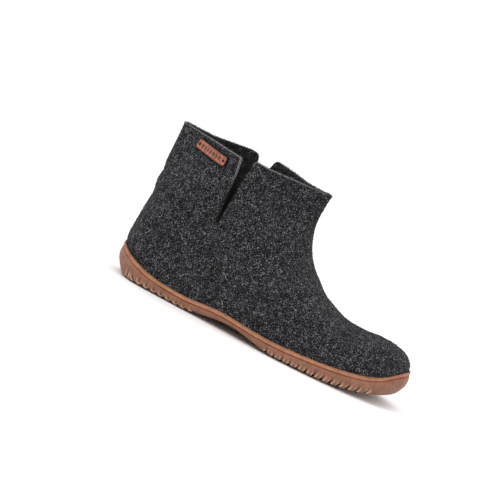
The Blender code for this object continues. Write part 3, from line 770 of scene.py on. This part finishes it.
tag = {
    "thickness": 1.6, "corner": 2.0, "edgeRound": 0.45,
    "across": 44, "along": 180, "crowding": 0.35,     # points each way, and how they crowd at the ends
    "outerFacing": -0.5, "skinFacing": 0.6,
    "stamps": 7, "stampPitch": 4.1, "stampHalf": (1.7, 2.5), "stampLine": 0.42, "stampDepth": 0.35,
    "rivetDip": 0.3, "dipBand": (1.0, 2.2),
    "stops": ((0.3, "#723b2a"), (0.5, "#8e513c"), (0.7, "#a76952")), "cloudMm": 2.5,
    # dark at the tag's edge and underside, and in the stamps
    "darkMark": "#1e0c07", "darkEdgeMm": 0.5, "darkMarkShare": 0.97,
    "grainMm": 0.45, "grainDepth": 0.08, "grainBump": 0.3,
}


def tagPlane():
    # the tag's own axes, from its two rivets and the way its skin faces
    mids = [middleOf(nodeName) for nodeName in ("tag_rivet_back", "tag_rivet_front")]
    along = (mids[1] - mids[0]).normalized()
    facing = Vector((0, 0, 0))
    for face in cadMesh("leather_tag").polygons:
        if face.normal.y < tag["outerFacing"]:
            facing += face.normal * face.area
    out = (facing - along * facing.dot(along)).normalized()
    return (mids[0] + mids[1]) / 2, along, out.cross(along), out, mids


def skinTerms(a, u):
    return np.stack([1 + 0 * a, a, u, a * a, a * u, u * u, a ** 3, a * a * u], axis=-1)


def tagSkin(middle, along, up, out):
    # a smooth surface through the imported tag's outer face, as shares of skinTerms, and its half sizes
    mesh = cadMesh("leather_tag")
    rows, heights = [], []
    for face in mesh.polygons:
        if face.normal.dot(out) > tag["skinFacing"]:
            for v in face.vertices:
                spot = mesh.vertices[v].co - middle
                rows.append((spot.dot(along) / mm, spot.dot(up) / mm))
                heights.append(spot.dot(out) / mm)
    a, u = np.array(rows).T
    fit = np.linalg.lstsq(skinTerms(a, u), np.array(heights), rcond=None)[0]
    off = np.abs(skinTerms(a, u) @ fit - np.array(heights)).max()
    print("tag skin: off by", round(float(off), 3), "mm")
    return fit, np.abs(a).max(), np.abs(u).max()


def tagGrid(halfLength, halfHeight):
    # places over a strip with round corners, and how far each lies from its edge
    corner, crowding = tag["corner"], tag["crowding"]
    uRow = halfHeight * np.sin(np.linspace(-math.pi / 2, math.pi / 2, tag["across"]))
    past = np.maximum(np.abs(uRow) - (halfHeight - corner), 0)
    reach = halfLength - corner + np.sqrt(np.maximum(corner ** 2 - past ** 2, 0))
    spread = np.sin(np.linspace(-math.pi / 2, math.pi / 2, tag["along"])) * crowding
    spread += np.linspace(-1, 1, tag["along"]) * (1 - crowding)
    a = reach[:, None] * spread[None, :]
    u = np.repeat(uRow[:, None], tag["along"], axis=1)
    return a, u, np.minimum(halfHeight - np.abs(u), reach[:, None] - np.abs(a))


def stampMarks(a, u):
    # a row of plain lozenges, their outlines pressed into the leather
    marks = np.zeros_like(a)
    halfA, halfU = tag["stampHalf"]
    line = tag["stampLine"]
    first = -(tag["stamps"] - 1) / 2
    for k in range(tag["stamps"]):
        centre = (first + k) * tag["stampPitch"]
        edge = 1 - np.abs(a - centre) / halfA - np.abs(u) / halfU
        marks = np.maximum(marks, softBand(edge - line, line))
    return marks


def slabFaces(rows, columns):
    # a top and a bottom grid of points, joined along their border
    def at(layer, i, j):
        return layer * rows * columns + i * columns + j
    faces = []
    for i in range(rows - 1):
        for j in range(columns - 1):
            faces.append((at(0, i, j), at(0, i, j + 1), at(0, i + 1, j + 1), at(0, i + 1, j)))
            faces.append((at(1, i, j), at(1, i + 1, j), at(1, i + 1, j + 1), at(1, i, j + 1)))
    border = [(0, j) for j in range(columns)] + [(i, columns - 1) for i in range(1, rows)]
    border += [(rows - 1, j) for j in range(columns - 2, -1, -1)] + [(i, 0) for i in range(rows - 2, 0, -1)]
    for (i, j), (k, m) in zip(border, border[1:] + border[:1]):
        faces.append((at(0, i, j), at(1, i, j), at(1, k, m), at(0, k, m)))
    return faces


def leatherTag():
    middle, along, up, out, mids = tagPlane()
    fit, halfLength, halfHeight = tagSkin(middle, along, up, out)
    a, u, inset = tagGrid(halfLength, halfHeight)
    stampsAndTagShade = stampMarks(a, u)
    near = 1 - np.clip(inset / tag["edgeRound"], 0, 1)
    lower = tag["edgeRound"] * (1 - np.sqrt(np.clip(1 - near ** 2, 0, 1)))
    for m in mids:
        away = np.hypot(a - (m - middle).dot(along) / mm, u - (m - middle).dot(up) / mm)
        lower = lower + tag["rivetDip"] * (1 - smoothStep(*tag["dipBand"], away))
    skin = skinTerms(a, u) @ fit
    points = []
    for level in (skin - lower - tag["stampDepth"] * stampsAndTagShade, skin - tag["thickness"]):
        for spotA, spotU, height in zip(a.ravel(), u.ravel(), level.ravel()):
            points.append(middle + along * spotA * mm + up * spotU * mm + out * height * mm)
    piece = meshPiece("tag_strip", points, slabFaces(*a.shape))
    unmarked = 0 * inset.ravel()     # the underside has no stamps, and all of it is edge colour
    paint(piece.data, "stampsAndTagShade", np.concatenate([stampsAndTagShade.ravel(), unmarked]))
    paint(piece.data, "rim", softBand(np.concatenate([inset.ravel(), unmarked]), tag["darkEdgeMm"]))
    built = bmesh.new()
    built.from_mesh(piece.data)
    bmesh.ops.recalc_face_normals(built, faces=built.faces[:])
    built.to_mesh(piece.data)
    built.free()
    heads = []
    for name, m in zip(("rivet_head_back", "rivet_head_front"), mids):
        height = skinTerms(np.array((m - middle).dot(along) / mm), np.array(0.0)) @ fit
        heads.append(rivetHead(name, m + out * (float(height) * mm - (m - middle).dot(out)), out))
    print("leather tag:", len(piece.data.polygons), "faces")
    return piece, heads


def tannedLeather():
    # vegetable-tanned leather, die-cut and stamped: satin, warm, dark at its edge and in the stamps
    made, tree = newMaterial("vegetable-tanned leather")
    place = addNode(tree, "ShaderNodeTexCoord").outputs["Object"]
    grain = addNode(tree, "ShaderNodeTexVoronoi", {"Scale": 1 / (tag["grainMm"] * mm)}, {"Vector": place},
                    feature="F1").outputs["Distance"]
    cloud = addNode(tree, "ShaderNodeTexNoise", {"Scale": 1 / (tag["cloudMm"] * mm), "Detail": 4.0},
                    {"Vector": place}).outputs["Fac"]
    base = addNode(tree, "ShaderNodeValToRGB", links={"Fac": cloud}, stops=tag["stops"]).outputs["Color"]
    stampsAndTagShade = addNode(tree, "ShaderNodeAttribute", attribute_name="stampsAndTagShade").outputs["Fac"]
    rim = addNode(tree, "ShaderNodeAttribute", attribute_name="rim").outputs["Fac"]
    darkMark = addNode(tree, "ShaderNodeMath", links={0: stampsAndTagShade, 1: rim}, operation="MAXIMUM").outputs[0]
    share = addNode(tree, "ShaderNodeMath", {1: tag["darkMarkShare"]}, {0: darkMark},
                    operation="MULTIPLY").outputs[0]
    colour = addNode(tree, "ShaderNodeMix", {"B": srgb(tag["darkMark"])}, {"Factor": share, "A": base},
                     data_type="RGBA").outputs["Result"]
    bump = addNode(tree, "ShaderNodeBump",
                   {"Strength": tag["grainBump"], "Distance": tag["grainDepth"] * mm},
                   {"Height": grain}).outputs["Normal"]
    shader = addNode(tree, "ShaderNodeBsdfPrincipled",
                     {"Roughness": 0.52, "IOR": 1.5, "Specular IOR Level": 0.4},
                     {"Base Color": colour, "Normal": bump})
    addNode(tree, "ShaderNodeOutputMaterial", links={"Surface": shader.outputs["BSDF"]})
    return made


# rivet heads: a short shank under a low dome, turned about the tag's normal, in mm

rivet = {
    "radius": 1.1, "rise": 0.5, "shankShare": 0.85, "shank": (-0.9, -0.25), "brim": (-0.2, 0.0),
    "dome": (0.15, math.pi / 2 - 0.2), "rings": 6, "sides": 32,     # angles up the dome, in radians
    "rubbedMm": 0.4, "stops": ((0.4, "#121213"), (0.75, "#3a3836")),
}


def rivetHead(name, foot, out):
    side = out.orthogonal().normalized()
    other = out.cross(side)
    radius, count = rivet["radius"], rivet["sides"]
    profile = [(radius * rivet["shankShare"], height) for height in rivet["shank"]]
    profile += [(radius, height) for height in rivet["brim"]]
    for t in np.linspace(*rivet["dome"], rivet["rings"]):
        profile.append((radius * math.cos(t), rivet["rise"] * math.sin(t)))
    points = []
    for r, height in profile:
        for t in np.linspace(0, 2 * math.pi, count, endpoint=False):
            points.append(foot + (side * math.cos(t) + other * math.sin(t)) * r * mm + out * height * mm)
    top = (len(profile) - 1) * count
    faces = [tuple(range(count))[::-1], tuple(range(top, top + count))]
    for ring in range(0, top, count):
        for k in range(count):
            n = (k + 1) % count
            faces.append((ring + k, ring + n, ring + count + n, ring + count + k))
    print(name, "has", len(faces), "faces")
    return meshPiece(name, points, faces)


def blackenedSteel():
    # blackened steel rivet: dark, half matt, with faint rubbed spots
    made, tree = newMaterial("blackened steel")
    place = addNode(tree, "ShaderNodeTexCoord").outputs["Object"]
    wearAndHighlight = addNode(tree, "ShaderNodeTexNoise", {"Scale": 1 / (rivet["rubbedMm"] * mm), "Detail": 3.0},
                   {"Vector": place}).outputs["Fac"]
    colour = addNode(tree, "ShaderNodeValToRGB", links={"Fac": wearAndHighlight}, stops=rivet["stops"]).outputs["Color"]
    shader = addNode(tree, "ShaderNodeBsdfPrincipled", {"Metallic": 1.0, "Roughness": 0.45},
                     {"Base Color": colour})
    addNode(tree, "ShaderNodeOutputMaterial", links={"Surface": shader.outputs["BSDF"]})
    return made


# studio, in metres and degrees, but for the paper's tooth

studio = {
    "azimuth": 8.0, "elevation": 7.5, "roll": 25.9, "distance": 2.0, "target": (0.0, 0.0, 0.070),
    "pixelsPerMetre": 1166.3, "offsetPixels": (36.82, 14.37), "imageWidth": 500, "sensor": 36.0,
    "sky": "#ffffff", "skyStrength": 1.06,
    "lights": (
        # name, azimuth, elevation, distance, size, watts
        ("key", -38.0, 48.0, 1.7, 1.1, 9.0),
        ("fill", 48.0, 30.0, 1.9, 1.2, 3.0),
        ("top", 150.0, 72.0, 1.8, 1.4, 6.0),
    ),
    "floorHalf": 12.0, "floorZ": -0.0004,     # just clear of the tread
    "toothMm": 1000 / 60, "paper": ((0.3, "#fafafa"), (0.7, "#fdfdfd")),     # sixty to the metre
}


def direction(azimuth, elevation):
    a, e = math.radians(azimuth), math.radians(elevation)
    return Vector((math.sin(a) * math.cos(e), -math.cos(a) * math.cos(e), math.sin(e)))


def studioPaper():
    # white paper roll: matt, with a faint uneven tone drawn far coarser than its fibres
    made, tree = newMaterial("white studio paper")
    place = addNode(tree, "ShaderNodeTexCoord").outputs["Object"]
    tooth = addNode(tree, "ShaderNodeTexNoise", {"Scale": 1 / (studio["toothMm"] * mm), "Detail": 3.0},
                    {"Vector": place}).outputs["Fac"]
    shade = addNode(tree, "ShaderNodeValToRGB", links={"Fac": tooth},
                    stops=studio["paper"]).outputs["Color"]
    shader = addNode(tree, "ShaderNodeBsdfPrincipled", {"Roughness": 0.9, "Specular IOR Level": 0.1},
                     {"Base Color": shade})
    addNode(tree, "ShaderNodeOutputMaterial", links={"Surface": shader.outputs["BSDF"]})
    return made


def addStudio():
    scene = bpy.context.scene
    scene.view_settings.view_transform = "Standard"
    world = bpy.data.worlds.new("studio")
    world.use_nodes = True
    sky = world.node_tree.nodes["Background"]
    sky.inputs["Color"].default_value = srgb(studio["sky"])
    sky.inputs["Strength"].default_value = studio["skyStrength"]
    scene.world = world
    for name, azimuth, elevation, distance, size, watts in studio["lights"]:
        data = bpy.data.lights.new(name, "AREA")
        data.shape, data.size, data.energy = "DISK", size, watts
        lamp = bpy.data.objects.new(name, data)
        away = direction(azimuth, elevation)
        lamp.location = Vector(studio["target"]) + away * distance
        lamp.rotation_euler = away.to_track_quat("Z", "Y").to_euler()
        scene.collection.objects.link(lamp)
    half = studio["floorHalf"]
    mesh = bpy.data.meshes.new("floor")
    corners = [(-half, -half, 0), (half, -half, 0), (half, half, 0), (-half, half, 0)]
    mesh.from_pydata(corners, [], [(0, 1, 2, 3)])
    mesh.materials.append(studioPaper())
    floor = bpy.data.objects.new("floor", mesh)
    scene.collection.objects.link(floor)
    floor.location.z = studio["floorZ"]
    print("studio:", len(studio["lights"]), "lights and a floor")


def addCamera():
    # the photograph's angle to the boot, rolled so that the toe points down to the right
    turned = math.radians(studio["azimuth"])
    back = direction(studio["azimuth"], studio["elevation"])
    level = Vector((math.cos(turned), math.sin(turned), 0))
    upright = back.cross(level)
    roll = math.radians(studio["roll"])
    right = level * math.cos(roll) + upright * math.sin(roll)
    up = upright * math.cos(roll) - level * math.sin(roll)
    target = Vector(studio["target"])
    place = target + back * studio["distance"]
    dx, dy = studio["offsetPixels"]
    aim = target - right * (dx / studio["pixelsPerMetre"]) + up * (dy / studio["pixelsPerMetre"])
    behind = (place - aim).normalized()
    across = up.cross(behind).normalized()
    turn = Matrix((across, behind.cross(across), behind)).transposed().to_4x4()
    data = bpy.data.cameras.new("camera")
    data.sensor_width = studio["sensor"]
    data.lens = studio["pixelsPerMetre"] * studio["distance"] / studio["imageWidth"] * studio["sensor"]
    camera = bpy.data.objects.new("camera", data)
    camera.matrix_world = Matrix.Translation(place) @ turn
    bpy.context.scene.collection.objects.link(camera)
    bpy.context.scene.camera = camera
    print("camera: lens", round(data.lens), "mm")


def build():
    addCamera()
    addStudio()
    wool = feltedWool("felted wool")
    fibre = looseWool()
    shellPiece, edgeSpots = feltShell()
    settle(shellPiece, wool, "felt", "upper")
    for piece in napPieces(shellPiece.data, edgeSpots):
        settle(piece, fibre, "felt")
    settle(gumSole(), gumRubber(), "gum_rubber", "sole")
    settle(feltInsole(), feltedWool("felted wool footbed", footbed["lift"]), "insole_felt", "insole")
    strip, heads = leatherTag()
    settle(strip, tannedLeather(), "tag_leather", "leather_tag")
    steel = blackenedSteel()
    for head, nodeName in zip(heads, ("tag_rivet_back", "tag_rivet_front")):
        settle(head, steel, "rivet_metal", nodeName)


build()
print("done")
